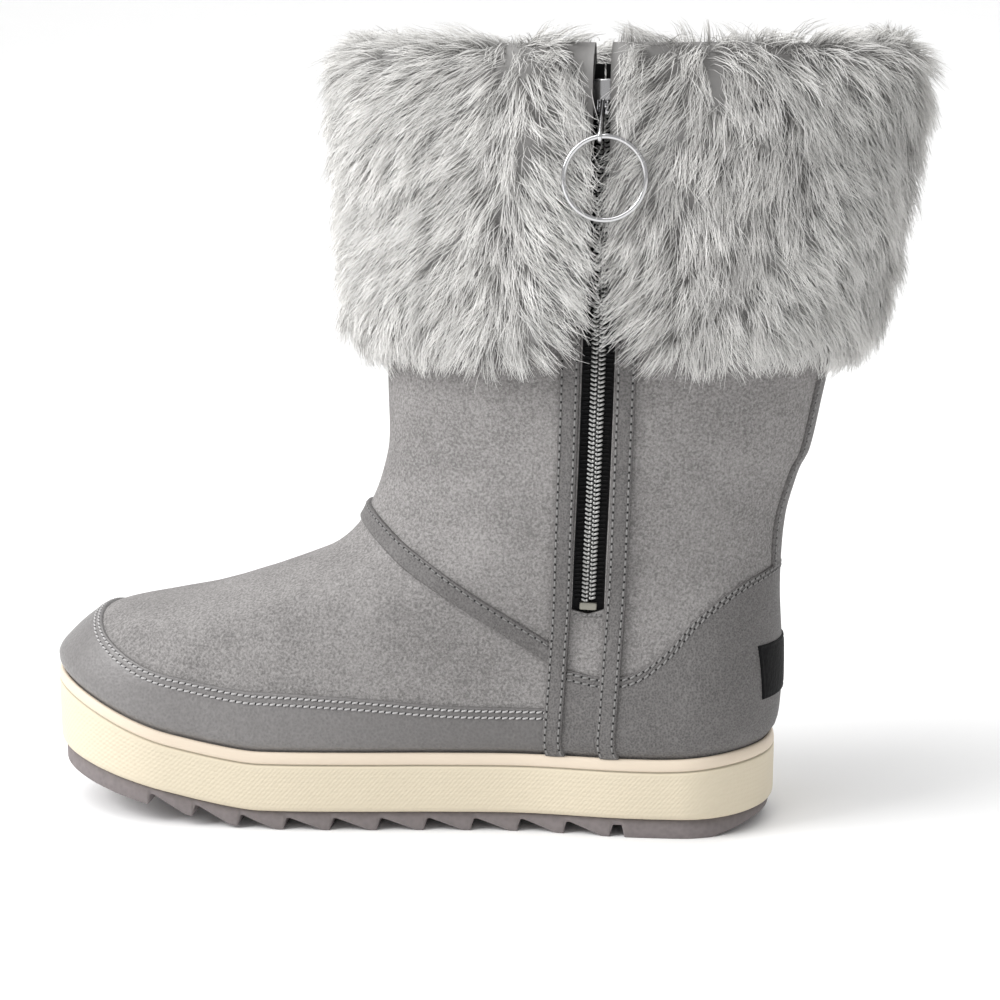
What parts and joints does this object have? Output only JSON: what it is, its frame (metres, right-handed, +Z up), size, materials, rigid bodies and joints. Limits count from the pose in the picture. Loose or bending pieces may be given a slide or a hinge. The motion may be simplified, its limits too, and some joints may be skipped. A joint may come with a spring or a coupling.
{
  "type": "winter boot",
  "caption": "Right-foot mid-calf suede winter boot with a deep turned-down fur cuff, a side zip with a ring pull and a cup sole on a saw-tooth tread.",
  "frame": {"origin": "middle of the heel's flat contact with the floor", "axes": "+X to the heel, so the toe points to -X; +Y to the outer side of this right boot, so the zip faces -Y; +Z up"},
  "size_m": [0.3263, 0.1242, 0.288],
  "materials": {
    "tread_rubber": "matte grey moulded rubber",
    "cup_foam": "cream cup sole, fine knurl on its wall",
    "footbed": "soft pile footbed",
    "suede": "grey suede, brushed nap",
    "smooth_leather": "grey smooth leather, satin",
    "badge": "plain black patch",
    "zip_tape": "woven tape",
    "zip_teeth": "black moulded teeth",
    "zip_stop": "dull olive metal",
    "pull_metal": "polished",
    "fur": "long grey pile"
  },
  "bodies": {
    "boot": {"outsole": "tread_rubber", "midsole": "cup_foam", "insole": "footbed", "upper": "suede", "toe_rand": "smooth_leather", "heel_counter": "smooth_leather", "instep_piping": "smooth_leather", "back_stay": "smooth_leather", "heel_badge": "badge", "zip_strip_front": "smooth_leather", "zip_strip_rear": "smooth_leather", "zip_tape_front": "zip_tape", "zip_tape_rear": "zip_tape", "zip_chain": "zip_teeth", "zip_bottom_stop": "zip_stop", "zip_slider": "pull_metal", "fur_cuff": "fur"},
    "link": {"pull_link": "pull_metal"},
    "ring": {"pull_ring": "pull_metal"}
  },
  "joints": [
    {"name": "link_swing", "type": "hinge", "parent": "boot", "child": "link", "pos_m": [-0.02587, -0.0482, 0.262], "axis": [-1, 0, 0], "range_deg": [0, 80]},
    {"name": "ring_swing", "type": "hinge", "parent": "link", "child": "ring", "pos_m": [-0.02587, -0.06046, 0.25172], "axis": [-1, 0, 0], "range_deg": [0, 90]}
  ]
}
